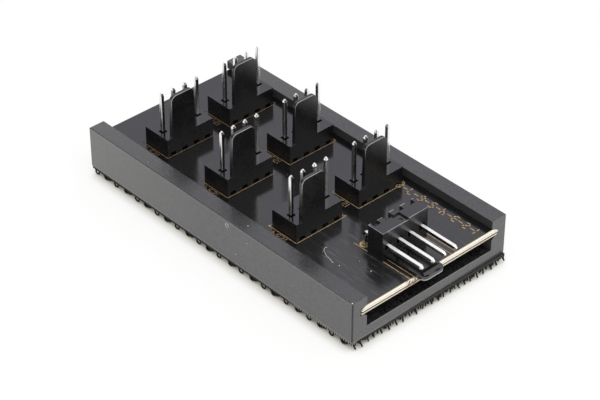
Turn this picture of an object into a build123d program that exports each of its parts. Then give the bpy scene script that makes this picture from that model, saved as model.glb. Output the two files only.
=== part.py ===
from build123d import *
import math
import os

# A fan splitter. A right-angle four-pin input header feeds six upright four-pin headers
# on one board. The board slides into grooves in a moulded channel, which stands on the
# hook side of hook-and-loop tape.
#
# Lengths are in millimetres. +X points to the input header's end, +Z is up, and the
# origin is under the middle of the whole part, on the surface that it stands on.

# Tape: adhesive, backing and hooks, from the top down
adhesive_thickness = 0.15
backing_thickness = 0.35
hook_height = 1.2
tape_inset = 0.1
tape_skew = 0.5
hook_pitch_x = 4.5
hook_pitch_y = 3.7
hook_edge_margin = 0.5
hook_wire = 0.34
hook_reach = 0.75
hook_barb_height = 0.4
hook_width = 0.4

# Tray: one channel, open at both ends. Its length and width follow from the headers
wall_thickness = 3.15
floor_thickness = 2.0
cavity_height = 2.65
lip_height = 1.55
groove_depth = 1.45
groove_fall = 0.65
groove_lead_width = 0.7
groove_lead_height = 0.6
tray_edge_round = 0.1

# Board: its two short edges are broken along scored lines
board_thickness = 1.6
board_side_gap = 0.25
board_top_gap = 0.05
board_setback = 0.5
score_depth = 0.5
score_web_reach = 0.18
hole_clearance = 0.15

# Pins
pin_count = 4
pin_pitch = 2.54
pin_side = 0.64
pin_point_side = 0.3
pin_point_length = 0.5
pin_height = 11.2
pin_tail = 1.2
pin_fit_gap = 0.02
pin_bend_inner_radius = 0.3

# Header housing, seen upright: the tab stands on the front side of the pins
housing_end_trim = 0.03
housing_front = 2.65
housing_back = 3.2
housing_height = 3.4
well_side = 1.2
well_depth = 0.6
rear_slot_width = 1.4
rear_slot_height = 1.0
front_slot_width = 1.2
front_slot_height = 0.55
front_slot_depth = 0.9
tab_top = 11.5
tab_thickness = 0.7
tab_left = 4.0
tab_right = 1.3
tab_draft = 0.25
tab_corner_round = 1.0
lock_drop = 0.45
lock_height = 1.3
lock_reach = 0.35
lock_inset = 0.55

# The input header's moulding has a shallow step on the side that faces up, and a
# small round ejector mark
step_depth = 0.3
step_right = 0.75
step_back_right = -0.55
step_back_depth = 1.15
mark_diameter = 0.7
mark_depth = 0.15
mark_from_base = 2.45
mark_side = -0.15

# Places along the board, measured back from the tray's front end
input_setback = 5.95
input_tail_gap = 1.55
front_row_setback = 21.7
front_row_spacing = 16.8
back_row_spacing = 15.4
back_margin = 11.4

# Places across the board. The columns stand a little to one side of the middle
column_pitches = 5.5
column_margin = 2.1
column_shift = 0.54
input_shift = 0.0

# Solder joints under the board
solder_foot_rim = 0.42
solder_top_rim = 0.08
solder_height = 0.9

# Levels
backing_bottom = hook_height
adhesive_bottom = backing_bottom + backing_thickness
tray_bottom = adhesive_bottom + adhesive_thickness
floor_top = tray_bottom + floor_thickness
board_bottom = floor_top + cavity_height
board_top = board_bottom + board_thickness
groove_top = board_top + board_top_gap
tray_top = groove_top + lip_height
input_pin_level = board_top + housing_front

# Places in X: the input header's tab, or its pins, reach past the tray's front end
back_row_setback = front_row_setback + front_row_spacing + back_row_spacing
row_setbacks = [back_row_setback, front_row_setback + front_row_spacing, front_row_setback]
tray_length = back_row_setback + back_margin
input_reach = max(tab_top, pin_height) - housing_height - input_setback
front_overhang = max(input_reach, tape_skew - tape_inset, score_web_reach)
overall_length = tray_length + front_overhang
tray_back_x = -overall_length / 2
tray_front_x = tray_back_x + tray_length
input_rear_x = tray_front_x - input_setback - housing_height
input_tail_x = input_rear_x - input_tail_gap - pin_side / 2

# Places in Y
housing_width = pin_count * pin_pitch - 2 * housing_end_trim
column_spacing = column_pitches * pin_pitch
inner_half = (column_spacing + housing_width) / 2 + column_margin
tray_half = inner_half + wall_thickness
groove_half = inner_half + groove_depth
board_half = groove_half - board_side_gap
board_fall = groove_fall * (board_half - inner_half) / groove_depth
pin_offsets = [(k - (pin_count - 1) / 2) * pin_pitch for k in range(pin_count)]
header_places = [
    (tray_front_x - setback, column_shift + side * column_spacing / 2)
    for side in (-1, 1)
    for setback in row_setbacks
]

# Round sizes that follow the square pins
pin_half_diagonal = pin_side / math.sqrt(2)
hole_radius = pin_half_diagonal + hole_clearance / 2

LOW = Align.MIN
MID = Align.CENTER


def block(size, low_x, low_z, y=0.0):
    """A box from its low X and low Z, centred on y."""
    return Pos(low_x, y, low_z) * Box(*size, align=(LOW, MID, LOW))


def round_corner(sketch, corner, radius):
    """The sketch with the corner nearest to the given point rounded."""
    nearest = sketch.vertices().sort_by_distance((*corner, 0))[0]
    return fillet(nearest, radius)


def pyramid(foot_side, top_side, height):
    """A square pyramid with its top cut off, standing on the origin."""
    slope = math.degrees(math.atan2((foot_side - top_side) / 2, height))
    return extrude(Rectangle(foot_side, foot_side), height, taper=slope)


# Tray


def tray_profile():
    """The channel's section in Y and Z, drawn for one side and mirrored."""
    outline = Polyline(
        (0, tray_bottom),
        (tray_half, tray_bottom),
        (tray_half, tray_top),
        (inner_half, tray_top),
        (inner_half, groove_top),
        (groove_half, groove_top - groove_fall),
        (groove_half, board_bottom),
        (inner_half + groove_lead_width, board_bottom),
        (inner_half, board_bottom - groove_lead_height),
        (inner_half, floor_top),
        (0, floor_top),
        close=True,
    )
    side = Sketch() + make_face(outline)
    for corner in [(inner_half, tray_top), (tray_half, tray_top)]:
        side = round_corner(side, corner, tray_edge_round)
    return side + mirror(side, Plane.YZ)


def tray():
    section = Plane.YZ.offset(tray_back_x) * tray_profile()
    return extrude(section, tray_length)


# Board


def board_length_section():
    """The board's section in X and Z, with the broken web left along both scores."""
    back = tray_back_x + board_setback
    front = tray_front_x
    web_low = board_bottom + score_depth
    web_high = board_top - score_depth
    return make_face(
        Polyline(
            (back, board_bottom),
            (front, board_bottom),
            (front + score_web_reach, web_low),
            (front + score_web_reach, web_high),
            (front, board_top),
            (back, board_top),
            (back - score_web_reach, web_high),
            (back - score_web_reach, web_low),
            close=True,
        )
    )


def board_cross_section():
    """The board's section in Y and Z: under the lips its long edges fall with the grooves."""
    return make_face(
        Polyline(
            (-board_half, board_bottom),
            (board_half, board_bottom),
            (board_half, board_top - board_fall),
            (inner_half, board_top),
            (-inner_half, board_top),
            (-board_half, board_top - board_fall),
            close=True,
        )
    )


def circuit_board():
    long_blank = extrude(Plane.XZ * board_length_section(), board_half, both=True)
    cross_blank = extrude(Plane.YZ * board_cross_section(), overall_length / 2, both=True)
    blank = long_blank & cross_blank
    places = [(x, y + offset) for x, y in header_places for offset in pin_offsets]
    places += [(input_tail_x, input_shift + offset) for offset in pin_offsets]
    drill = Cylinder(hole_radius, board_thickness, align=(MID, MID, LOW))
    return blank - [Pos(x, y, board_bottom) * drill for x, y in places]


# Header housings, modelled upright with the pin row on the origin and the foot at zero


def polarising_tab():
    """The tall tab, with its upper corners rounded and a catch on the side of the pins."""
    outline = Sketch() + make_face(
        Polyline(
            (-tab_left, 0),
            (tab_right, 0),
            (tab_right - tab_draft, tab_top),
            (-tab_left + tab_draft, tab_top),
            close=True,
        )
    )
    upper = outline.vertices().group_by(Axis.Y)[-1]
    outline = fillet(upper, tab_corner_round)
    inner_face = housing_front - tab_thickness
    plate = extrude(Plane.YZ.offset(inner_face) * outline, tab_thickness)
    catch_top = tab_top - lock_drop
    catch = make_face(
        Polyline(
            (inner_face, catch_top),
            (inner_face - lock_reach, catch_top - lock_reach),
            (inner_face, catch_top - lock_height),
            close=True,
        )
    )
    catch_width = tab_left + tab_right - 2 * (tab_draft + lock_inset)
    catch_middle = (tab_right - tab_left) / 2
    return plate + Pos(0, catch_middle, 0) * extrude(Plane.XZ * catch, catch_width / 2, both=True)


def pin_cuts():
    """What each pin needs: a tight square hole, a well on top and relief slots below."""
    hole_side = pin_side + 2 * pin_fit_gap
    cuts = []
    for y in pin_offsets:
        hole = block((hole_side, hole_side, housing_height), -hole_side / 2, 0, y)
        well = block((well_side, well_side, well_depth), -well_side / 2, housing_height - well_depth, y)
        rear = block((housing_back, rear_slot_width, rear_slot_height), -housing_back, 0, y)
        front_low_x = housing_front - front_slot_depth
        front = block((front_slot_depth, front_slot_width, front_slot_height), front_low_x, 0, y)
        cuts += [hole, well, rear, front]
    return cuts


def housing():
    depth = housing_back + housing_front
    base = block((depth, housing_width, housing_height), -housing_back, 0)
    return (base + polarising_tab()) - pin_cuts()


def input_housing():
    """The same moulding with its stepped side and mark, turned to point its pins along +X."""
    half = housing_width / 2
    side_x = -housing_back
    front_strip = Pos(side_x, -half, step_back_depth) * Box(
        step_depth, half + step_right, housing_height - step_back_depth, align=(LOW, LOW, LOW)
    )
    back_strip = Pos(side_x, -half, 0) * Box(
        step_depth, half + step_back_right, step_back_depth, align=(LOW, LOW, LOW)
    )
    mark_at = Pos(side_x + step_depth, mark_side, mark_from_base) * Rot(0, 90, 0)
    mark = mark_at * Cylinder(mark_diameter / 2, mark_depth, align=(MID, MID, LOW))
    body = housing() - [front_strip, back_strip, mark]
    return Pos(input_rear_x, input_shift, input_pin_level) * Rot(0, 90, 0) * body


# Pins


def pin_point():
    return pyramid(pin_side, pin_point_side, pin_point_length)


def upright_pin(x, y):
    low = board_bottom - pin_tail
    shoulder = board_top + pin_height - pin_point_length
    shank = Pos(x, y, low) * Box(pin_side, pin_side, shoulder - low, align=(MID, MID, LOW))
    return shank + Pos(x, y, shoulder) * pin_point()


def bent_pin(y):
    """A pin that comes up through the board and turns forward through the housing."""
    half = pin_side / 2
    low = board_bottom - pin_tail
    shoulder = input_rear_x + pin_height - pin_point_length
    outline = Polyline(
        (input_tail_x - half, low),
        (input_tail_x - half, input_pin_level + half),
        (shoulder, input_pin_level + half),
        (shoulder, input_pin_level - half),
        (input_tail_x + half, input_pin_level - half),
        (input_tail_x + half, low),
        close=True,
    )
    strip = Sketch() + make_face(outline)
    outer_bend = (input_tail_x - half, input_pin_level + half)
    inner_bend = (input_tail_x + half, input_pin_level - half)
    strip = round_corner(strip, outer_bend, pin_bend_inner_radius + pin_side)
    strip = round_corner(strip, inner_bend, pin_bend_inner_radius)
    shank = Pos(0, y, 0) * extrude(Plane.XZ * strip, half, both=True)
    return shank + Pos(shoulder, y, input_pin_level) * Rot(0, 90, 0) * pin_point()


# Solder joints: each makes a faceted cone round its pin, under the board


def solder_joint():
    """What two cut-off pyramids share, an eighth of a turn apart, hanging from the origin."""
    foot_side = 2 * (hole_radius + solder_foot_rim)
    top_side = 2 * (pin_half_diagonal + solder_top_rim)
    facets = pyramid(foot_side, top_side, solder_height)
    cone = facets & Rot(0, 0, 45) * facets
    return Rot(180, 0, 0) * (cone - block((pin_side, pin_side, solder_height), -pin_side / 2, 0))


def solder_group(x, y):
    joint = solder_joint()
    return Compound(children=[Pos(x, y + offset, board_bottom) * joint for offset in pin_offsets])


# Tape


def tape_outline():
    """The tape was cut a little askew, so one front corner stands past the tray."""
    back = tray_back_x + tape_inset
    front = tray_front_x - tape_inset
    half = tray_half - tape_inset
    return make_face(
        Polyline((back, -half), (front, -half), (front + tape_skew, half), (back, half), close=True)
    )


def tape_layer(low, thickness):
    return extrude(Plane.XY.offset(low) * tape_outline(), thickness)


def hook():
    """One hook that hangs from the backing at the origin, with a flat foot and a barb."""
    half = hook_wire / 2
    profile = make_face(
        Polyline(
            (-half, 0),
            (half, 0),
            (half, -hook_height + hook_wire),
            (hook_reach, -hook_height + hook_barb_height + hook_wire),
            (hook_reach, -hook_height + hook_wire),
            (half, -hook_height),
            (-half, -hook_height),
            close=True,
        )
    )
    return extrude(Plane.XZ * profile, hook_width / 2, both=True)


def spread(low, high, pitch):
    """Even places from low to high, as near to the pitch as a whole count allows."""
    count = max(2, round((high - low) / pitch) + 1)
    return [low + (high - low) * k / (count - 1) for k in range(count)]


def hook_tape():
    one = hook()
    low_x = tray_back_x + tape_inset + hook_edge_margin
    high_x = tray_front_x - tape_inset - hook_edge_margin - hook_reach
    high_y = tray_half - tape_inset - hook_edge_margin
    hooks = [
        Pos(x, y, backing_bottom) * one
        for x in spread(low_x, high_x, hook_pitch_x)
        for y in spread(-high_y, high_y, hook_pitch_y)
    ]
    return tape_layer(backing_bottom, backing_thickness) + hooks


# Assembly

nodes = {
    "tray": tray(),
    "circuit_board": circuit_board(),
    "tape_adhesive": tape_layer(adhesive_bottom, adhesive_thickness),
    "hook_tape": hook_tape(),
    "input_header_housing": input_housing(),
    "input_solder": solder_group(input_tail_x, input_shift),
}

upright_housing = housing()
for number, (x, y) in enumerate(header_places, start=1):
    nodes[f"header_{number}_housing"] = Pos(x, y, board_top) * upright_housing
    nodes[f"header_{number}_solder"] = solder_group(x, y)
    for pin, offset in enumerate(pin_offsets, start=1):
        nodes[f"header_{number}_pin_{pin}"] = upright_pin(x, y + offset)

for pin, offset in enumerate(pin_offsets, start=1):
    nodes[f"input_pin_{pin}"] = bent_pin(input_shift + offset)

os.makedirs("parts", exist_ok=True)
for name, solid in nodes.items():
    export_step(solid, f"parts/{name}.step")
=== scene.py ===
import math
import random

import bmesh
import bpy
from mathutils import Matrix, Vector


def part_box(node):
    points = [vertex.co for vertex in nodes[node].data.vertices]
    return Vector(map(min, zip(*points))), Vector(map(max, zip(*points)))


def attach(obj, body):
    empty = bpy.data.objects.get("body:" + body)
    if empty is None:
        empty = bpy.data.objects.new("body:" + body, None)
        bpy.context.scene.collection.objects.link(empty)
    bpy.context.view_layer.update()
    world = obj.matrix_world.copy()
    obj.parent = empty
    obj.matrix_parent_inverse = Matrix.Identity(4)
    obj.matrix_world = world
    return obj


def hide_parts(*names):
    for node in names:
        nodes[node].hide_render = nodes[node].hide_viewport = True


# The looks of a fan splitter: a black moulded channel with a glossy board, seven black
# pin headers and hook tape underneath. Lengths are in metres, and MM turns millimetres
# into them. FAR is a length past every edge of the part.

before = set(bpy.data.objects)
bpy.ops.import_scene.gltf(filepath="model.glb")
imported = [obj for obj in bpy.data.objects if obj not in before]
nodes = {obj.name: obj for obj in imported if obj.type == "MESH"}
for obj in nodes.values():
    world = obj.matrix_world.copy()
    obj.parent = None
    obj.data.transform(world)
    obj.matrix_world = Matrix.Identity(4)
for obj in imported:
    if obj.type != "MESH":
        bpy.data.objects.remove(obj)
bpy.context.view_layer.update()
MM = 0.001
FAR = 1.0

# What the camera saw
PHOTO_WIDTH = 600
SENSOR_WIDTH = 36.0
FOCAL_PIXELS = 2144.87
CAMERA_AZIMUTH = 47.211
CAMERA_ELEVATION = 36.444
CAMERA_ROLL = 0.114
CAMERA_SIDE = 1.343 * MM
CAMERA_RISE = 1.248 * MM
CAMERA_DISTANCE = 363.40 * MM

# Sizes taken from the frame
tray_low, tray_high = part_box("tray")
board_low, board_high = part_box("circuit_board")
tape_low, tape_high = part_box("hook_tape")
input_low, input_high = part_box("input_header_housing")
input_tails = [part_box(f"input_pin_{k}") for k in range(1, 5)]
tab_fronts = [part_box(f"header_{n}_housing")[1].x for n in range(1, 4)]
board_top = board_high.z

# Tray: its channel, the painted highlight and painted shade lines along its edges, and where its painted
# light towards the back starts
FLOOR_TOP = 3.7 * MM
WELL_HALF = 13.2 * MM
EDGE_LINE = 0.2 * MM
BRINK_LINE = 0.1 * MM
FOOT_LINE = 0.22 * MM
LINE_SOFT = 0.03 * MM
OUTER_SKIN = 0.95 * MM
OUTER_SOFT = 0.05 * MM
PAINTED_LIGHT_START_X = -4 * MM

# Headers: the input housing's depth, and the painted highlight lines on its top edges and its tab's tip,
# and on the rims and top edges of the upright tabs
HOUSING_DEPTH = 3.4 * MM
BRIM_WIDTH = 0.14 * MM
BRIM_DROP = 1.5 * MM
BRIM_START_BEHIND = 1.0 * MM
BRIM_FULL_BEHIND = 0.5 * MM
TIP_LENGTH = 0.9 * MM
TIP_RISE = 0.25 * MM
TAB_DEPTH = 1.0 * MM
RIM_INSIDE = 0.16 * MM
RIM_OUTSIDE = 0.02 * MM
RIM_START_Z = 16.5 * MM
RIM_FULL_Z = 18 * MM
TAB_EDGE_START_Z = 17.5 * MM
TAB_EDGE_FULL_Z = 18.5 * MM

# Rounded edges of the mouldings and pins
HOUSING_BEVEL = 0.08 * MM
PIN_BEVEL = 0.09 * MM
TRAY_BEVEL = 0.12 * MM
BEVEL_SEGMENTS = 2
BEVEL_ANGLE = 40
WELD_DISTANCE = 0.001 * MM

# Board: where it is scraped, and where its broken edge is chipped
SCRAPED_START_X = 10 * MM
SCRAPED_FULL_X = 22 * MM
SCRAPED_START_Y = 2 * MM
SCRAPED_FULL_Y = -4 * MM
CHIPPED_LOW_Y = -5.6 * MM
CHIPPED_HIGH_Y = -2.7 * MM
CHIPPED_SOFT = 0.3 * MM

# Print on the board: outlines, rows of figures and tracks to the input header
PRINT_THICKNESS = 0.02 * MM
PRINT_WIDTH = 0.15 * MM
PRINT_OFFSET = 0.31 * MM
PRINT_DULL_X = -15 * MM
PRINT_BRIGHT_X = 18 * MM
FIGURE_WIDTH_SHARE = 0.6
ROW_OFFSET = 0.3 * MM
ROW_FIGURE_HEIGHT = 1.0 * MM
ROW_FIGURE_PITCH = 1.0 * MM
ROW_LEAD_PITCHES = 1.9
LONG_PRINT_WIDTH = 0.21 * MM
LONG_FIGURE_HEIGHT = 1.5 * MM
LONG_FIGURE_PITCH = 1.27 * MM
LONG_FIGURES_X = 30.9 * MM
LONG_FIGURES_Y = 12.55 * MM
TRACK_END_GAP = 0.1 * MM
LONG_TRACK_LEAD = 1.15 * MM
LONG_TRACKS_Y = (-4.82 * MM, 5.6 * MM)
SHORT_TRACK_BACK = 8.0 * MM
SHORT_TRACKS_Y = (-3.92 * MM, 4.6 * MM)

# Plain figures: the strokes of each, in a frame one unit wide and one unit high
STROKES = {
    "a": ((0, 1), (1, 1)),
    "b": ((1, 1), (1, 0.5)),
    "c": ((1, 0.5), (1, 0)),
    "d": ((0, 0), (1, 0)),
    "e": ((0, 0), (0, 0.5)),
    "f": ((0, 0.5), (0, 1)),
    "g": ((0, 0.5), (1, 0.5)),
}
FIGURES = {
    "1": "bc",
    "2": "abged",
    "3": "abgcd",
    "4": "fgbc",
    "5": "afgcd",
    "6": "afgedc",
    "7": "abc",
    "8": "abcdefg",
    "-": "g",
}

# Pads round the input header's tails, and small round vias
PIN_SIDE = 0.64 * MM
PAD_INNER = 0.53 * MM
PAD_OUTER = 0.85 * MM
PAD_SINK = 0.01 * MM
PAD_RISE = 0.03 * MM
PAD_SIDES = 24
VIA_PLACE = (12.78 * MM, -0.89 * MM)
VIA_INNER = 0.02 * MM
VIA_OUTER = 0.16 * MM
VIA_RISE = 0.04 * MM
VIA_SIDES = 12

# Hook tape: its backing, its rows of hooks, and where its layers show pale
TAPE_SKEW = 0.5 * MM
BACKING_THICKNESS = 0.4 * MM
HOOK_THICKNESS = 0.27 * MM
HOOK_RADIUS = 0.5 * MM
HOOK_PITCH_X = 2.7 * MM
HOOK_PITCH_Y = 1.5 * MM
HOOK_EDGE = 0.2 * MM
HOOK_ROOT = 0.05 * MM
HOOK_SIDES = 6
HOOK_STEP = math.pi / 6
HOOK_SCATTER = 0.15 * MM
STEM_SHARE = 0.7
OPEN_HOOK_SCALE = 1.35
BEHIND_SHIFTS = (0.45 * MM, -0.6 * MM)
BEHIND_DEPTH = 0.4 * MM
FRINGE_COUNT = 3
FRINGE_INSET = 0.22 * MM
FRINGE_SLANT = 0.08 * MM
FRINGE_SWAY = 0.3 * MM
FRINGE_MIDDLE = (0.25, 0.2, 0.5)
FOOT_LIFT = 0.6
PALE_START_X = 16 * MM
PALE_FULL_X = 19 * MM
PALE_START_Y = -16 * MM
PALE_FULL_Y = -16.5 * MM

# What the hooks draw at random: sizes, curls in half turns, reaches and leans
CLOSED_SIZES = (0.9, 1.05)
OPEN_SIZES = (0.75, 0.95)
CLOSED_CURLS = (1.6, 1.85)
OPEN_CURLS = (0.9, 1.15)
OPEN_REACHES = (0.75, 1.0)
LEANS = (-0.2, 0.2)

# What the cut hooks at the tape's ends draw: drops, reaches in millimetres, places, widths
ROW_DROPS = (0.85, 1.0)
ROW_REACHES = (0.1, 0.55)
FRINGE_DROPS = (0.25, 0.7)
FRINGE_REACHES = (-0.1, 0.25)
FRINGE_PLACES = (0.2, 0.8)
FRINGE_WIDTHS = (0.45, 0.62)

# Dust, in millimetres: crumbs as places and sizes, a curl on the side, a fibre's route
CRUMB_FLATNESS = 0.5
CRUMB_DENTS = (-0.35, 0.25)
BOARD_LIFT = 0.02
WALL_LIFT = 0.01
BOARD_CRUMBS = ((21.64, -10.63, 0.09), (22.96, -7.49, 0.08), (26.04, -7.93, 0.10), (17.2, -10.2, 0.05))
SIDE_CRUMBS = ((4.14, 3.73, 0.09), (7.01, 7.57, 0.08), (18.1, 5.5, 0.06), (-12.0, 6.2, 0.05))
TOP_CRUMBS = ((5.6, -15.78, 0.1), (31.3, -17.1, 0.12), (-19.0, -16.4, 0.05))
CURL_CENTRE = (2.15, 8.5)
CURL_RADII = (0.42, 0.3)
CURL_THICKNESS = 0.035
CURL_POINTS = 11
CURL_POINTS_A_TURN = 12
FINE_CRUMBS = 26
FINE_LIFT = 0.005
FINE_SIZES = (0.012, 0.028)
FINE_SPAN_X = (-30, 30)
FINE_BANDS_Y = ((-11, -9), (-1, 1), (-4, 4))
FIBRE = (
    (16.8, -8.8),
    (16.75, -9.3),
    (17.1, -9.8),
    (17.75, -10.1),
    (18.4, -10.45),
    (19.4, -10.6),
    (20.48, -10.95),
)
FIBRE_LIFT = 0.04
FIBRE_THICKNESS = 0.03
FIBRE_SIDES = 5

# How far a face has to point along an axis to count as facing it: a little, and in full
FACING_START = 0.9
FACING_FULL = 0.95

# Room: its colours from the horizon up, and dim places as a direction, a colour and an edge
WHITE = (1.0, 1.0, 1.0)
LOW_GREY = (0.12, 0.12, 0.12)
ROOM_BANDS = ((0.0, WHITE), (0.06, LOW_GREY), (0.26, LOW_GREY), (0.40, WHITE))
DIM_BEHIND = ((-0.590, 0.546, 0.594), (0.75, 0.73, 0.80), 0.80)
DIM_LEFT = ((-0.590, -0.546, 0.594), (0.25, 0.25, 0.26), 0.85)
DIM_SOFT = 0.1

# Floor, lamp and the camera's limits
FLOOR_HALF = 1.5
FLOOR_CLOUDS = 0.2
FLOOR_GLOW = 0.8
SHADOW_REACH = 3 * MM
SHADOW_SAMPLES = 8
SOFT_BOX_SIDE = 0.7
SOFT_BOX_PLACE = (0.32, -0.12, 0.75)
SOFT_BOX_WATTS = 3.2
NEAREST = 0.01
FARTHEST = 10


# Meshes


def scatter(reach):
    """A random length, up to the given one either way."""
    return random.uniform(-reach, reach)


def add_object(name, mesh):
    """An object of the scene, made of a mesh, a lamp or a camera."""
    piece = bpy.data.objects.new(name, mesh)
    bpy.context.scene.collection.objects.link(piece)
    return piece


def mesh_piece(name, bm, material, smooth=False):
    """A piece made of the given bmesh, which rides on the one body."""
    mesh = bpy.data.meshes.new(name)
    bm.to_mesh(mesh)
    bm.free()
    for face in mesh.polygons:
        face.use_smooth = smooth
    mesh.materials.append(material)
    piece = add_object(name, mesh)
    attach(piece, "root")
    return piece


def prism(bm, outline, low, high):
    """A solid over a flat outline of (x, y) points, listed anticlockwise."""
    bottom = [bm.verts.new((x, y, low)) for x, y in outline]
    top = [bm.verts.new((x, y, high)) for x, y in outline]
    bm.faces.new(list(reversed(bottom)))
    bm.faces.new(top)
    for k in range(len(outline)):
        n = (k + 1) % len(outline)
        bm.faces.new([bottom[k], bottom[n], top[n], top[k]])


def line(bm, start, end, width, low, high):
    """A raised straight line with square ends that reach half a width past its points."""
    a, b = Vector(start), Vector(end)
    along = (b - a).normalized() * width / 2
    across = Vector((-along.y, along.x))
    a -= along
    b += along
    prism(bm, [tuple(p) for p in (a - across, b - across, b + across, a + across)], low, high)


def ring(bm, centre, inner, outer, low, high, sides):
    """A flat washer round a point in X and Y."""
    x, y = centre
    turns = [2 * math.pi * s / sides for s in range(sides)]
    loops = []
    for radius, level in ((inner, low), (inner, high), (outer, high), (outer, low)):
        circle = [(x + radius * math.cos(t), y + radius * math.sin(t), level) for t in turns]
        loops.append([bm.verts.new(point) for point in circle])
    for k in range(4):
        one, two = loops[k], loops[(k + 1) % 4]
        for s in range(sides):
            n = (s + 1) % sides
            bm.faces.new([one[s], two[s], two[n], one[n]])


def wire(bm, path, radius, sides):
    """A round wire along a list of points, closed at both ends."""
    rings = []
    for k, point in enumerate(path):
        before = path[max(k - 1, 0)]
        after = path[min(k + 1, len(path) - 1)]
        ahead = (after - before).normalized()
        side = ahead.orthogonal() if not rings else (side - ahead * side.dot(ahead)).normalized()
        side.normalize()
        other = ahead.cross(side)
        loop = []
        for s in range(sides):
            turn = 2 * math.pi * s / sides
            offset = (side * math.cos(turn) + other * math.sin(turn)) * radius
            loop.append(bm.verts.new(point + offset))
        rings.append(loop)
    for one, two in zip(rings, rings[1:]):
        for s in range(sides):
            n = (s + 1) % sides
            bm.faces.new([one[s], one[n], two[n], two[s]])
    bm.faces.new(list(reversed(rings[0])))
    bm.faces.new(rings[-1])


def speck(bm, place, size):
    """A crumb of dust: a flattened, uneven lump."""
    flattened = Matrix.Translation(place) @ Matrix.Diagonal((1, 1, CRUMB_FLATNESS, 1))
    made = bmesh.ops.create_icosphere(bm, subdivisions=1, radius=size, matrix=flattened)
    for vertex in made["verts"]:
        vertex.co += (vertex.co - Vector(place)) * random.uniform(*CRUMB_DENTS)


# Nodes of materials and of the world


class Nodes:
    """A node tree, to which nodes are added a step at a time."""

    def __init__(self, tree):
        self.nodes = tree.nodes
        self.links = tree.links

    def node(self, kind, settings=None, **inputs):
        """A node with the given settings, whose inputs are fed by name."""
        made = self.nodes.new(kind)
        for key, value in (settings or {}).items():
            setattr(made, key, value)
        for key, value in inputs.items():
            self.feed(made.inputs[key.replace("_", " ")], value)
        return made

    def feed(self, socket, value):
        """Links an output to an input, or sets the input to a plain value."""
        if isinstance(value, bpy.types.NodeSocket):
            self.links.new(value, socket)
        else:
            socket.default_value = value

    def two(self, kind, operation, one, other):
        """A node of the given kind and operation, fed with two values."""
        made = self.node(kind, {"operation": operation})
        self.feed(made.inputs[0], one)
        self.feed(made.inputs[1], other)
        return made

    def ramp(self, value, *stops):
        """Turns a number into a colour, through stops of (position, colour)."""
        made = self.node("ShaderNodeValToRGB", Fac=value)
        elements = made.color_ramp.elements
        while len(elements) < len(stops):
            elements.new(0.5)
        for element, (position, colour) in zip(elements, stops):
            element.position = position
            element.color = (*colour, 1)
        return made.outputs["Color"]

    def blend(self, factor, one, two):
        """A shader between two shaders."""
        made = self.node("ShaderNodeMixShader")
        for socket, value in zip(made.inputs, (factor, one, two)):
            self.feed(socket, value)
        return made.outputs[0]


class Look(Nodes):
    """One material, with helpers that work on numbers, colours and places on the part."""

    def __init__(self, name):
        self.material = bpy.data.materials.new(name)
        self.material.use_nodes = True
        super().__init__(self.material.node_tree)
        self.shader = self.nodes["Principled BSDF"]
        self.place = self.node("ShaderNodeTexCoord").outputs["Object"]

    def set(self, **inputs):
        """Feeds the shader's own inputs by name."""
        for key, value in inputs.items():
            self.feed(self.shader.inputs[key.replace("_", " ")], value)

    def stretched(self, x=1.0, y=1.0, z=1.0):
        """The place on the part, with each axis scaled."""
        return self.node("ShaderNodeMapping", Vector=self.place, Scale=(x, y, z)).outputs["Vector"]

    def noise(self, size, detail=2.0, roughness=0.5, place=None):
        """Cloudy noise from 0 to 1, whose features are about the given length."""
        made = self.node(
            "ShaderNodeTexNoise",
            Vector=place or self.place,
            Scale=1 / size,
            Detail=detail,
            Roughness=roughness,
        )
        return made.outputs["Fac"]

    def remap(self, value, low, high, out_low, out_high):
        """A number moved from one range to another, and held within it."""
        made = self.node(
            "ShaderNodeMapRange",
            Value=value,
            From_Min=low,
            From_Max=high,
            To_Min=out_low,
            To_Max=out_high,
        )
        return made.outputs["Result"]

    def rise(self, value, low, high):
        """0 at the first value and before it, 1 at the second and past it."""
        return self.remap(value, low, high, 0.0, 1.0)

    def mix(self, factor, one, two):
        """A colour between two colours."""
        made = self.node("ShaderNodeMix", {"data_type": "RGBA"})
        colours = [s for s in made.inputs if s.type == "RGBA"]
        self.feed(made.inputs["Factor"], factor)
        for socket, colour in zip(colours, (one, two)):
            self.feed(socket, (*colour, 1) if isinstance(colour, tuple) else colour)
        return [s for s in made.outputs if s.type == "RGBA"][0]

    def math(self, operation, one, other=0.0):
        return self.two("ShaderNodeMath", operation, one, other).outputs[0]

    def either(self, first, *others):
        """The largest of some numbers."""
        for other in others:
            first = self.math("MAXIMUM", first, other)
        return first

    def times(self, first, *others):
        """The product of some numbers."""
        for other in others:
            first = self.math("MULTIPLY", first, other)
        return first

    def opposite(self, value):
        """1 for 0, and 0 for 1."""
        return self.math("SUBTRACT", 1.0, value)

    def axis(self, vector, name):
        return self.node("ShaderNodeSeparateXYZ", Vector=vector).outputs[name]

    def axes(self):
        """The place on the part, as X, Y and Z."""
        return [self.axis(self.place, name) for name in "XYZ"]

    def normal(self, name):
        """How far a face points along an axis, from -1 to 1."""
        return self.axis(self.node("ShaderNodeNewGeometry").outputs["True Normal"], name)

    def facing(self, name, sign=1):
        """1 on faces that face along an axis, 0 on the others; a sign of 0 takes both ways."""
        value = self.normal(name)
        value = self.math("MULTIPLY", value, sign) if sign else self.math("ABSOLUTE", value)
        return self.rise(value, FACING_START, FACING_FULL)

    def between(self, value, low, high, soft=LINE_SOFT):
        """1 where a length lies between two others, 0 outside them."""
        above = self.rise(value, low - soft, low + soft)
        return self.times(above, self.remap(value, high - soft, high + soft, 1.0, 0.0))

    def bump(self, height, depth, below=None):
        """Relief of the given depth, laid over the relief below it if there is one."""
        made = self.node("ShaderNodeBump", Height=height, Distance=depth)
        if below is not None:
            self.feed(made.inputs["Normal"], below)
        return made.outputs["Normal"]


# Materials


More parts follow.
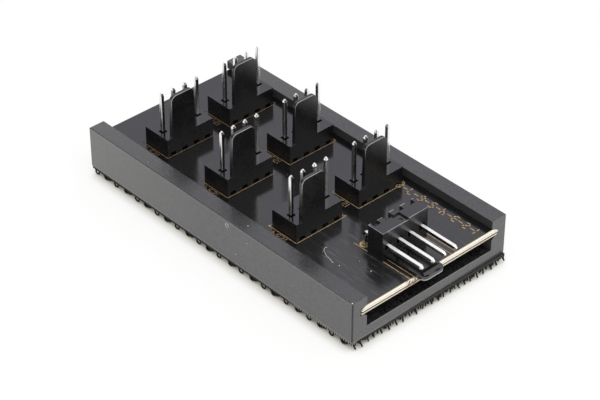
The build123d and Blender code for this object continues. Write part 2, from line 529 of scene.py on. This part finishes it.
def tray_look():
    """Satin black moulding, with painted highlight and painted shade lines along its sharp edges, painted
    shade on the walls' inner faces, and painted light towards the back.
    """
    look = Look("tray_plastic")
    grain = look.noise(0.3 * MM, 3, 0.6)
    patches = look.noise(5 * MM, 3)
    streaks = look.noise(0.5 * MM, 2, place=look.stretched(0.03, 1, 1))
    scratches = look.noise(0.16 * MM, 2, place=look.stretched(0.04, 1, 1))
    x, y, z = look.axes()
    side = look.facing("Y", -1)
    front = look.facing("X")
    top = look.facing("Z")
    ends = look.either(side, front)
    outer = look.between(y, -FAR, tray_low.y + OUTER_SKIN, OUTER_SOFT)
    at_outer_edge = look.between(y, -FAR, tray_low.y + EDGE_LINE)

    # Painted light: the left side, and less so the top, are made paler towards the back, in patches.
    back = look.rise(x, PAINTED_LIGHT_START_X, tray_low.x)
    painted_light_faces = look.either(side, look.times(top, 0.6))
    painted_light = look.times(back, painted_light_faces, look.remap(patches, 0.2, 0.8, 0.7, 1.0))
    black = look.ramp(grain, (0.4, (0.001, 0.001, 0.001)), (0.6, (0.034, 0.0335, 0.0335)))
    black_with_painted_light = look.mix(painted_light, black, (0.085, 0.083, 0.078))
    scuffed = look.mix(look.remap(scratches, 0.64, 0.72, 0.0, 0.7), black_with_painted_light, (0.045, 0.044, 0.045))

    # Painted shade and painted dark reflections: a dark line down the front-left corner, a half-dark line
    # along the outer top edge, and dark inner faces of the walls.
    corner = look.times(ends, look.between(x, tray_high.x - EDGE_LINE, FAR), at_outer_edge)
    brink = look.times(top, at_outer_edge, 0.5)
    inner_side = look.times(side, look.opposite(outer), look.between(z, -FAR, tray_high.z - BRINK_LINE))
    dark = look.either(corner, brink, inner_side)

    # Painted highlights: pale lines on the left side just below its top edge, along the top of the floor
    # lip at the front, and along the foot of the side and the front.
    below_brink = look.between(z, tray_high.z - BRINK_LINE - EDGE_LINE, tray_high.z - BRINK_LINE)
    lip = look.times(
        front,
        look.between(z, FLOOR_TOP - EDGE_LINE, FLOOR_TOP),
        look.between(y, -WELL_HALF, WELL_HALF),
    )
    foot = look.times(ends, look.between(z, -FAR, tray_low.z + FOOT_LINE))
    pale = look.either(
        look.times(side, below_brink, outer, 0.25),
        look.times(lip, 0.4),
        look.times(foot, 0.35),
    )
    shade = look.times(dark, look.opposite(pale))
    look.set(
        Base_Color=look.mix(shade, look.mix(pale, scuffed, (0.22, 0.215, 0.21)), (0.001, 0.001, 0.001)),
        Roughness=look.math("ADD", look.remap(patches, 0.3, 0.7, 0.23, 0.3), look.times(shade, 0.6)),
        IOR=2.0,
        Normal=look.bump(grain, 0.006 * MM, look.bump(streaks, 0.003 * MM)),
    )
    return look.material


def header_look():
    """Satin black moulding, glossier on top than on its sides, with painted highlights on the tabs' rims,
    the input housing's top edges and its tab's tip.
    """
    look = Look("header_plastic")
    grain = look.noise(0.15 * MM, 3)
    flow = look.noise(2.5 * MM, 3)
    upright = look.opposite(look.facing("Z"))
    x, y, z = look.axes()
    tip = look.times(
        look.between(x, input_high.x - TIP_LENGTH, FAR),
        look.between(z, -FAR, board_top + TIP_RISE),
    )

    places = [front - depth for depth in (0.0, TAB_DEPTH) for front in tab_fronts]
    rim = look.times(
        look.either(*[look.between(x, place - RIM_INSIDE, place + RIM_OUTSIDE) for place in places]),
        look.opposite(look.facing("X", 0)),
        look.rise(z, RIM_START_Z, RIM_FULL_Z),
        look.remap(flow, 0.35, 0.5, 0.5, 1.0),
    )

    face = input_low.x + HOUSING_DEPTH
    brim = look.times(
        look.either(
            look.between(y, -FAR, input_low.y + BRIM_WIDTH),
            look.between(x, face - BRIM_WIDTH, face + BRIM_WIDTH),
            look.between(x, -FAR, input_low.x + BRIM_WIDTH),
        ),
        look.facing("Z"),
        look.between(z, input_high.z - BRIM_DROP, FAR),
        look.rise(x, input_low.x - BRIM_START_BEHIND, input_low.x - BRIM_FULL_BEHIND),
        look.remap(flow, 0.35, 0.55, 0.2, 0.5),
    )

    # Painted highlights: the input tab's tip, the upright tabs' rims and the input housing's top edges
    # are made pale, the rims and edges in patches.
    worn = look.either(look.times(tip, 0.5), look.times(rim, 0.5), brim)
    black = look.ramp(flow, (0.3, (0.004, 0.004, 0.005)), (0.7, (0.0065, 0.0065, 0.0078)))
    look.set(
        Base_Color=look.mix(worn, black, (0.55, 0.55, 0.56)),
        Roughness=look.math("ADD", look.remap(flow, 0.3, 0.7, 0.11, 0.16), look.times(upright, 0.14)),
        IOR=1.8,
        Normal=look.bump(grain, 0.002 * MM),
    )
    return look.material


def header_edge_look():
    """The headers' rounded edges, with painted highlights that are palest where they face up and on the
    tab tops.
    """
    look = Look("header_edges")
    edge_mottle = look.noise(0.35 * MM, 3)
    # Painted highlights: the bevels are made pale where they face up, in patches, and palest at the top
    # of the tabs.
    upward = look.remap(look.normal("Z"), 0.1, 0.5, 0.25, 1.0)
    painted_highlight = look.times(upward, look.remap(edge_mottle, 0.3, 0.65, 0.35, 1.0))
    tab_top = look.rise(look.axis(look.place, "Z"), TAB_EDGE_START_Z, TAB_EDGE_FULL_Z)
    pale = look.mix(tab_top, (0.30, 0.30, 0.31), (0.75, 0.75, 0.76))
    look.set(
        Base_Color=look.mix(painted_highlight, (0.012, 0.012, 0.013), pale),
        Roughness=look.remap(edge_mottle, 0.3, 0.7, 0.2, 0.32),
        IOR=1.85,
        Normal=look.bump(edge_mottle, 0.002 * MM),
    )
    return look.material


def laminate(look, y, z, fibres):
    """Bare glass laminate in layers, with a dark band of painted shade across its middle, chipped at one
    place along the broken edge.
    """
    depth = look.rise(z, board_high.z, board_low.z)
    # The dark band from 0.54 to 0.68 of the depth is painted shade; the other bands are the laminate's
    # layers.
    layers = look.ramp(
        depth,
        (0.0, (0.10, 0.06, 0.02)),
        (0.06, (0.75, 0.58, 0.28)),
        (0.13, (1.0, 0.98, 0.92)),
        (0.26, (1.0, 0.98, 0.92)),
        (0.31, (0.50, 0.47, 0.42)),
        (0.36, (1.0, 0.98, 0.92)),
        (0.49, (1.0, 0.97, 0.88)),
        (0.54, (0.05, 0.03, 0.012)),
        (0.68, (0.06, 0.035, 0.015)),
        (0.72, (1.0, 0.97, 0.88)),
        (0.88, (0.98, 0.84, 0.52)),
        (0.95, (0.07, 0.05, 0.03)),
    )
    glass = look.mix(look.remap(fibres, 0.45, 0.7, 0.0, 0.4), layers, (0.42, 0.31, 0.14))
    chips = look.remap(look.noise(0.3 * MM, 2), 0.44, 0.56, 0.0, 0.95)
    chipped = look.times(look.between(y, CHIPPED_LOW_Y, CHIPPED_HIGH_Y, CHIPPED_SOFT), chips)
    return look.mix(chipped, glass, (0.19, 0.10, 0.035))


def board_look():
    """Glossy black mask above and below, and bare glass laminate on the broken edges."""
    look = Look("board_laminate")
    edge = look.opposite(look.either(look.facing("Z"), look.facing("Z", -1)))
    x, y, z = look.axes()
    fibres = look.noise(0.12 * MM, 3, place=look.stretched(1, 1, 4))
    weave = look.noise(0.8 * MM, 3)
    scratches = look.noise(0.2 * MM, 3, place=look.stretched(0.05, 1, 1))
    scrapes = look.noise(0.17 * MM, 3, place=look.stretched(1, 0.08, 1))
    near = look.times(
        look.remap(x, SCRAPED_START_X, SCRAPED_FULL_X, 0.1, 1.0),
        look.remap(y, SCRAPED_START_Y, SCRAPED_FULL_Y, 0.35, 1.0),
    )
    marks = look.either(
        look.remap(scratches, 0.58, 0.7, 0.0, 1.0),
        look.remap(scrapes, 0.64, 0.74, 0.0, 0.7),
    )
    mask = look.ramp(weave, (0.3, (0.0028, 0.0028, 0.0032)), (0.7, (0.0046, 0.0045, 0.0051)))
    hazed = look.mix(near, mask, (0.010, 0.010, 0.0105))
    scuffed = look.mix(look.times(near, marks), hazed, (0.075, 0.073, 0.072))
    shine = look.math("ADD", look.remap(scratches, 0.35, 0.75, 0.11, 0.18), look.times(near, 0.08))
    relief = look.bump(look.noise(0.6 * MM, 2), 0.002 * MM)
    look.set(
        Base_Color=look.mix(edge, scuffed, laminate(look, y, z, fibres)),
        Roughness=look.math("ADD", shine, look.times(edge, 0.6)),
        IOR=1.78,
        Normal=look.bump(look.times(fibres, edge), 0.03 * MM, relief),
    )
    return look.material


def pin_look():
    """Bright tin plate, made whiter and less of a mirror on what faces up, as a painted highlight."""
    look = Look("pin_metal")
    drawn = look.noise(0.15 * MM, 3, place=look.stretched(1, 1, 0.08))
    clouds = look.noise(1.2 * MM, 3)
    look.set(
        Base_Color=look.ramp(clouds, (0.3, (0.91, 0.90, 0.88)), (0.7, (0.965, 0.96, 0.95))),
        # Painted highlight: faces that point up are made less metallic, so that they show white.
        Metallic=look.remap(look.normal("Z"), 0.5, 0.95, 1.0, 0.3),
        Roughness=look.remap(drawn, 0.3, 0.7, 0.12, 0.2),
        Normal=look.bump(drawn, 0.001 * MM),
    )
    return look.material


def solder_look():
    """Frosted dull tin."""
    look = Look("solder_metal")
    frost = look.noise(0.25 * MM, 3)
    look.set(
        Base_Color=look.ramp(frost, (0.3, (0.62, 0.61, 0.60)), (0.7, (0.75, 0.74, 0.73))),
        Metallic=1.0,
        Roughness=look.remap(frost, 0.3, 0.7, 0.25, 0.42),
        Normal=look.bump(frost, 0.02 * MM),
    )
    return look.material


def front_stretch(look):
    """Where the tape's layers show pale, along the left side near the front."""
    along = look.rise(look.axis(look.place, "X"), PALE_START_X, PALE_FULL_X)
    return look.times(along, look.rise(look.axis(look.place, "Y"), PALE_START_Y, PALE_FULL_Y))


def adhesive_look():
    """Dark adhesive with fine bubbles, pale near the front of the left side."""
    look = Look("adhesive")
    bubbles = look.noise(0.4 * MM, 3)
    dark = look.ramp(bubbles, (0.35, (0.008, 0.008, 0.008)), (0.65, (0.02, 0.019, 0.018)))
    look.set(
        Base_Color=look.mix(front_stretch(look), dark, (0.42, 0.41, 0.38)),
        Roughness=0.45,
        Normal=look.bump(bubbles, 0.01 * MM),
    )
    return look.material


def hook_look():
    """Dull black plastic, uneven in tint."""
    look = Look("hook_plastic")
    tint = look.noise(0.6 * MM, 2)
    look.set(
        Base_Color=look.ramp(tint, (0.3, (0.004, 0.004, 0.0045)), (0.7, (0.014, 0.0135, 0.014))),
        Roughness=look.remap(tint, 0.3, 0.7, 0.4, 0.55),
        IOR=1.25,
    )
    return look.material


def weave_look():
    """The tape's woven backing: two sets of threads."""
    look = Look("tape_weave")
    sets = []
    for direction, scale in (("X", 0.6 / MM), ("Y", 0.8 / MM)):
        made = look.node(
            "ShaderNodeTexWave",
            {"bands_direction": direction},
            Vector=look.place,
            Scale=scale,
            Distortion=0.6,
        )
        sets.append(made.outputs["Fac"])
    threads = look.either(*sets)
    black = look.ramp(threads, (0.2, (0.003, 0.003, 0.0035)), (0.9, (0.012, 0.012, 0.0125)))
    pale = look.times(front_stretch(look), look.remap(threads, 0.45, 0.75, 0.0, 1.0))
    look.set(
        Base_Color=look.mix(pale, black, (0.30, 0.29, 0.27)),
        Roughness=0.75,
        Normal=look.bump(threads, 0.05 * MM),
    )
    return look.material


def print_look():
    """Ochre print, duller towards the back of the board."""
    look = Look("board_print")
    worn = look.noise(0.3 * MM, 3)
    x = look.axis(look.place, "X")
    dull = look.ramp(worn, (0.3, (0.07, 0.045, 0.022)), (0.7, (0.20, 0.13, 0.065)))
    gold = look.ramp(worn, (0.3, (0.20, 0.13, 0.06)), (0.7, (0.52, 0.38, 0.21)))
    look.set(
        Base_Color=look.mix(look.rise(x, PRINT_DULL_X, PRINT_BRIGHT_X), dull, gold),
        Roughness=look.remap(worn, 0.3, 0.7, 0.45, 0.65),
        Normal=look.bump(worn, 0.01 * MM),
    )
    return look.material


def pad_look():
    """Frosted gold-coloured metal."""
    look = Look("pad_metal")
    frost = look.noise(0.2 * MM, 3)
    look.set(
        Base_Color=look.ramp(frost, (0.3, (0.80, 0.58, 0.28)), (0.7, (0.92, 0.74, 0.44))),
        Metallic=1.0,
        Roughness=look.remap(frost, 0.3, 0.7, 0.25, 0.4),
        Normal=look.bump(frost, 0.01 * MM),
    )
    return look.material


def dust_look():
    """Pale matt crumbs and fibres."""
    look = Look("dust")
    tint = look.noise(0.3 * MM, 2)
    look.set(
        Base_Color=look.ramp(tint, (0.3, (0.72, 0.70, 0.66)), (0.7, (0.92, 0.90, 0.86))),
        Roughness=0.9,
    )
    return look.material


# The CAD nodes: materials, and rounded edges on the mouldings and pins


def round_edges(piece, width, edge_material=None):
    """Bevels the sharp edges, with a material of their own if one is given."""
    weld = piece.modifiers.new("weld", "WELD")
    weld.merge_threshold = WELD_DISTANCE
    bevel = piece.modifiers.new("bevel", "BEVEL")
    bevel.width = width
    bevel.segments = BEVEL_SEGMENTS
    bevel.limit_method = "ANGLE"
    bevel.angle_limit = math.radians(BEVEL_ANGLE)
    bevel.harden_normals = False
    bevel.use_clamp_overlap = True
    if edge_material:
        piece.data.materials.append(edge_material)
        bevel.material = len(piece.data.materials) - 1


def dress(piece, material):
    piece.data.materials.clear()
    piece.data.materials.append(material)


def dress_frame():
    header = header_look()
    header_edges = header_edge_look()
    pin = pin_look()
    solder = solder_look()
    looks = {"tray": tray_look(), "circuit_board": board_look(), "tape_adhesive": adhesive_look()}
    for name, piece in nodes.items():
        if name.endswith("_housing"):
            dress(piece, header)
            round_edges(piece, HOUSING_BEVEL, header_edges)
        elif "_pin_" in name:
            dress(piece, pin)
            round_edges(piece, PIN_BEVEL)
        elif name.endswith("_solder"):
            dress(piece, solder)
        elif name in looks:
            dress(piece, looks[name])
    round_edges(nodes["tray"], TRAY_BEVEL)


# Hook tape


def tape_outline():
    """The tape's outline, cut askew at the front."""
    front = tape_high.x - TAPE_SKEW
    return [
        (tape_low.x, tape_low.y),
        (front, tape_low.y),
        (tape_high.x, tape_high.y),
        (tape_low.x, tape_high.y),
    ]


def tape_front(y):
    """Where the tape's skew front end lies, at a distance across it."""
    return tape_high.x - TAPE_SKEW * (tape_high.y - y) / (tape_high.y - tape_low.y)


def within_tape(y, margin):
    """A place across the tape, held off its long edges by a margin."""
    return min(max(y, tape_low.y + margin), tape_high.y - margin)


def hook(bm, place, side, height, radius, curl, thickness, lean=(0.0, 0.0)):
    """A hook in an upright plane along X, from its root down, round and up by its curl."""
    stem = -(height - radius) * STEM_SHARE
    points = [Vector((-radius * STEM_SHARE, 0, HOOK_ROOT)), Vector((-radius, 0, stem))]
    steps = max(3, round(curl / HOOK_STEP))
    for k in range(steps + 1):
        turn = math.pi + curl * k / steps
        points.append(Vector((radius * math.cos(turn), 0, radius * math.sin(turn) - height + radius)))
    half = thickness / 2
    for p in points:
        p.x = place.x + side * p.x - lean[0] * p.z
        p.y = place.y - lean[1] * p.z
        p.z = max(place.z + p.z, tape_low.z + half)
    wire(bm, points, half, HOOK_SIDES)


def hook_row(bm, row, y, inward, root, height):
    """A row of hooks along X. An outer row, one with a way inward, is closed rings and open
    hooks by turns, and has more hooks behind the open ones."""
    side = 1 if row % 2 else -1
    x = tape_low.x + HOOK_RADIUS + HOOK_THICKNESS + (row % 2) * HOOK_PITCH_X / 2
    count = 0
    while x < tape_front(y) - 2 * HOOK_RADIUS:
        closed = inward and count % 2 == 0
        radius = HOOK_RADIUS * random.uniform(*(CLOSED_SIZES if closed else OPEN_SIZES))
        curl = random.uniform(*(CLOSED_CURLS if closed else OPEN_CURLS)) * math.pi
        reach = 1.0 if closed else random.uniform(*OPEN_REACHES)
        lean = (0.0, 0.0) if inward else (random.uniform(*LEANS), random.uniform(*LEANS))
        thick = HOOK_THICKNESS * (1.0 if closed else OPEN_HOOK_SCALE)
        place = Vector((x + scatter(HOOK_SCATTER), y, root))
        hook(bm, place, side, height * reach, radius, curl, thick, lean)
        if inward and not closed:
            for shift in BEHIND_SHIFTS:
                behind = place + Vector((shift + scatter(HOOK_SCATTER), inward * BEHIND_DEPTH, 0))
                hook(bm, behind, -side, height, radius, math.pi, thick)
        x += HOOK_PITCH_X
        count += 1


def fringe(bm, y, root, drop, reach):
    """A cut hook at each end of the tape; the front one leans outwards."""
    y = within_tape(y + scatter(HOOK_SCATTER), HOOK_THICKNESS)
    sway = scatter(FRINGE_SWAY)
    part_lean, part_sway, part_drop = FRINGE_MIDDLE
    for end, side, lean in ((tape_front(y), 1, reach * MM), (tape_low.x, -1, 0.0)):
        slant = side * FRINGE_SLANT
        start = Vector((end - side * FRINGE_INSET, y, root + HOOK_ROOT))
        middle = start + Vector((slant + lean * part_lean, sway * part_sway, -drop * part_drop))
        foot = start + Vector((slant + lean, sway, -drop))
        foot.y = within_tape(foot.y, HOOK_THICKNESS / 2)
        foot.z = max(foot.z, tape_low.z + HOOK_THICKNESS * FOOT_LIFT)
        wire(bm, [start, middle, foot], HOOK_THICKNESS * random.uniform(*FRINGE_WIDTHS), HOOK_SIDES)


def hooks():
    """All the rows of hooks, with cut hooks at both ends of each row and between rows."""
    bm = bmesh.new()
    root = tape_high.z - BACKING_THICKNESS
    height = root - tape_low.z - HOOK_THICKNESS / 2
    margin_y = HOOK_EDGE + HOOK_THICKNESS / 2
    width = tape_high.y - tape_low.y - 2 * margin_y
    row_count = round(width / HOOK_PITCH_Y) + 1
    pitch_y = width / (row_count - 1)
    ways_inward = {0: 1, row_count - 1: -1}
    for row in range(row_count):
        y = tape_low.y + margin_y + row * pitch_y
        hook_row(bm, row, y, ways_inward.get(row, 0), root, height)
        fringe(bm, y, root, height * random.uniform(*ROW_DROPS), random.uniform(*ROW_REACHES))
        for _ in range(FRINGE_COUNT):
            between = y + pitch_y * random.uniform(*FRINGE_PLACES)
            drop = height * random.uniform(*FRINGE_DROPS)
            fringe(bm, between, root, drop, random.uniform(*FRINGE_REACHES))
    return mesh_piece("tape_hooks", bm, hook_look(), smooth=True)


def hook_tape():
    bm = bmesh.new()
    prism(bm, tape_outline(), tape_high.z - BACKING_THICKNESS, tape_high.z)
    backing = mesh_piece("tape_backing", bm, weave_look())
    for piece in (backing, hooks()):
        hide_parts("hook_tape")


# Print and pads on the board


def print_line(bm, start, end, width=PRINT_WIDTH):
    line(bm, start, end, width, board_top, board_top + PRINT_THICKNESS)


def print_figures(bm, text, x, y, height, pitch, stroke_width=PRINT_WIDTH):
    """Plain figures in a row, read from the front end backwards, with their feet at y."""
    width = pitch * FIGURE_WIDTH_SHARE
    for k, figure in enumerate(text):
        left = x - k * pitch
        for stroke in FIGURES[figure]:
            (u0, v0), (u1, v1) = STROKES[stroke]
            start = (left - u0 * width, y - v0 * height)
            end = (left - u1 * width, y - v1 * height)
            print_line(bm, start, end, stroke_width)


def board_print():
    bm = bmesh.new()
    for number in range(1, 7):
        a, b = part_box(f"header_{number}_housing")
        x0, y0 = a.x - PRINT_OFFSET, a.y - PRINT_OFFSET
        x1, y1 = b.x + PRINT_OFFSET, b.y + PRINT_OFFSET
        corners = [(x0, y0), (x1, y0), (x1, y1), (x0, y1)]
        for k in range(4):
            print_line(bm, corners[k], corners[(k + 1) % 4])
        row_x = (a.x + b.x) / 2 + ROW_LEAD_PITCHES * ROW_FIGURE_PITCH
        print_figures(bm, "1234", row_x, y0 - ROW_OFFSET, ROW_FIGURE_HEIGHT, ROW_FIGURE_PITCH)
    print_figures(
        bm,
        "1-2-3-4-5-6-7-8",
        LONG_FIGURES_X,
        LONG_FIGURES_Y,
        LONG_FIGURE_HEIGHT,
        LONG_FIGURE_PITCH,
        LONG_PRINT_WIDTH,
    )
    long_rear = input_tails[0][0].x - LONG_TRACK_LEAD
    short_rear = input_high.x - SHORT_TRACK_BACK
    front = tray_high.x - TRACK_END_GAP
    for rear, places in ((long_rear, LONG_TRACKS_Y), (short_rear, SHORT_TRACKS_Y)):
        for y in places:
            print_line(bm, (rear, y), (front, y))
    piece = mesh_piece("board_print", bm, print_look())


def pads():
    bm = bmesh.new()
    for low, high in input_tails:
        centre = (low.x + PIN_SIDE / 2, (low.y + high.y) / 2)
        ring(bm, centre, PAD_INNER, PAD_OUTER, board_top - PAD_SINK, board_top + PAD_RISE, PAD_SIDES)
    a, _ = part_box("header_3_housing")
    for place in ((a.x - PRINT_OFFSET, a.y - PRINT_OFFSET), VIA_PLACE):
        ring(bm, place, VIA_INNER, VIA_OUTER, board_top, board_top + VIA_RISE, VIA_SIDES)
    piece = mesh_piece("board_pads", bm, pad_look())


# Dust, a fibre on the board and a curl on the side


def fine_crumbs(bm):
    """The finest crumbs, thrown over the board beside the headers and between them."""
    for _ in range(FINE_CRUMBS):
        x = random.uniform(*FINE_SPAN_X)
        y = random.choice([random.uniform(*band) for band in FINE_BANDS_Y])
        speck(bm, (x * MM, y * MM, board_top + FINE_LIFT * MM), random.uniform(*FINE_SIZES) * MM)


def dust():
    bm = bmesh.new()
    for x, y, size in BOARD_CRUMBS:
        speck(bm, (x * MM, y * MM, board_top + BOARD_LIFT * MM), size * MM)
    for x, z, size in SIDE_CRUMBS:
        speck(bm, (x * MM, tray_low.y + WALL_LIFT * MM, z * MM), size * MM)
    for x, y, size in TOP_CRUMBS:
        speck(bm, (x * MM, y * MM, tray_high.z + WALL_LIFT * MM), size * MM)
    curl = []
    for k in range(CURL_POINTS):
        turn = 2 * math.pi * k / CURL_POINTS_A_TURN
        x = CURL_CENTRE[0] + CURL_RADII[0] * math.cos(turn)
        z = CURL_CENTRE[1] + CURL_RADII[1] * math.sin(turn)
        curl.append(Vector((x, 0, z)) * MM + Vector((0, tray_low.y, 0)))
    wire(bm, curl, CURL_THICKNESS * MM, FIBRE_SIDES)
    fine_crumbs(bm)
    fibre = [Vector((x * MM, y * MM, board_top + FIBRE_LIFT * MM)) for x, y in FIBRE]
    wire(bm, fibre, FIBRE_THICKNESS * MM, FIBRE_SIDES)
    mesh_piece("dust", bm, dust_look())


# Stage: floor, world, light and camera


def floor_look():
    """A pale floor that glows to the camera, with a painted shadow close to the part, and is clear from
    below.
    """
    look = Look("floor")
    tint = look.noise(FLOOR_CLOUDS, 2)
    look.set(
        Base_Color=look.ramp(tint, (0.3, (0.95, 0.94, 0.92)), (0.7, (0.96, 0.95, 0.93))),
        Roughness=0.9,
    )
    # Painted shadow: the glow is darkened by ambient occlusion close to the part; the diffuse share keeps
    # the real shadow.
    open_air = look.node("ShaderNodeAmbientOcclusion", {"samples": SHADOW_SAMPLES}, Distance=SHADOW_REACH)
    shadow = look.ramp(
        open_air.outputs["AO"],
        (0.15, (0.10, 0.095, 0.08)),
        (0.45, (0.55, 0.53, 0.47)),
        (0.8, WHITE),
    )
    glow = look.node("ShaderNodeEmission", Color=shadow, Strength=1.0).outputs[0]
    path = look.node("ShaderNodeLightPath").outputs
    seen = look.either(path["Is Camera Ray"], path["Is Glossy Ray"], path["Is Transmission Ray"])
    above = look.blend(look.times(seen, FLOOR_GLOW), look.shader.outputs[0], glow)
    from_below = look.node("ShaderNodeNewGeometry").outputs["Backfacing"]
    clear = look.node("ShaderNodeBsdfTransparent").outputs[0]
    look.feed(look.nodes["Material Output"].inputs["Surface"], look.blend(from_below, above, clear))
    return look.material


def floor():
    bm = bmesh.new()
    bmesh.ops.create_grid(bm, x_segments=1, y_segments=1, size=FLOOR_HALF)
    mesh = bpy.data.meshes.new("floor")
    bm.to_mesh(mesh)
    bm.free()
    mesh.materials.append(floor_look())
    add_object("floor", mesh)


def studio():
    """A white room, dimmer low down all round and in two places; the camera sees plain white."""
    world = bpy.data.worlds.new("studio")
    world.use_nodes = True
    tree = Nodes(world.node_tree)
    room = tree.nodes["Background"]
    room.inputs["Strength"].default_value = 1.0
    toward = tree.node("ShaderNodeTexCoord").outputs["Generated"]
    height = tree.node("ShaderNodeSeparateXYZ", Vector=toward).outputs["Z"]
    colour = tree.ramp(height, *ROOM_BANDS)
    for centre, dimmed, edge in (DIM_BEHIND, DIM_LEFT):
        near = tree.two("ShaderNodeVectorMath", "DOT_PRODUCT", toward, centre).outputs["Value"]
        lobe = tree.ramp(near, (edge, WHITE), (edge + DIM_SOFT, dimmed))
        colour = tree.two("ShaderNodeVectorMath", "MULTIPLY", colour, lobe).outputs["Vector"]
    tree.feed(room.inputs["Color"], colour)
    backdrop = tree.node("ShaderNodeBackground", Color=(*WHITE, 1)).outputs[0]
    seen = tree.node("ShaderNodeLightPath").outputs["Is Camera Ray"]
    tree.feed(tree.nodes["World Output"].inputs["Surface"], tree.blend(seen, room.outputs[0], backdrop))
    bpy.context.scene.world = world


def soft_box():
    """One large square lamp, which looks at the part."""
    soft = bpy.data.lights.new("soft_box", "AREA")
    soft.shape = "RECTANGLE"
    soft.size = SOFT_BOX_SIDE
    soft.size_y = SOFT_BOX_SIDE
    soft.energy = SOFT_BOX_WATTS
    lamp = add_object("soft_box", soft)
    lamp.location = SOFT_BOX_PLACE
    lamp.rotation_euler = (Vector((0, 0, 0)) - lamp.location).to_track_quat("-Z", "Y").to_euler()


def camera():
    a, e, r = (math.radians(v) for v in (CAMERA_AZIMUTH, CAMERA_ELEVATION, CAMERA_ROLL))
    back = Vector((math.sin(a) * math.cos(e), -math.cos(a) * math.cos(e), math.sin(e)))
    level = Vector((math.cos(a), math.sin(a), 0))
    upright = back.cross(level)
    right = level * math.cos(r) + upright * math.sin(r)
    up = upright * math.cos(r) - level * math.sin(r)
    data = bpy.data.cameras.new("camera")
    data.sensor_width = SENSOR_WIDTH
    data.lens = FOCAL_PIXELS * SENSOR_WIDTH / PHOTO_WIDTH
    data.clip_start = NEAREST
    data.clip_end = FARTHEST
    seat = Vector(((tray_low.x + tray_high.x) / 2, 0, tray_low.z))
    place = seat + right * CAMERA_SIDE + up * CAMERA_RISE + back * CAMERA_DISTANCE
    eye = add_object("camera", data)
    turned = Matrix((right, up, back)).transposed().to_4x4()
    eye.matrix_world = Matrix.Translation(place) @ turned
    bpy.context.scene.camera = eye


random.seed(7)
dress_frame()
hook_tape()
board_print()
pads()
dust()
floor()
studio()
soft_box()
camera()
bpy.context.scene.view_settings.view_transform = "Standard"
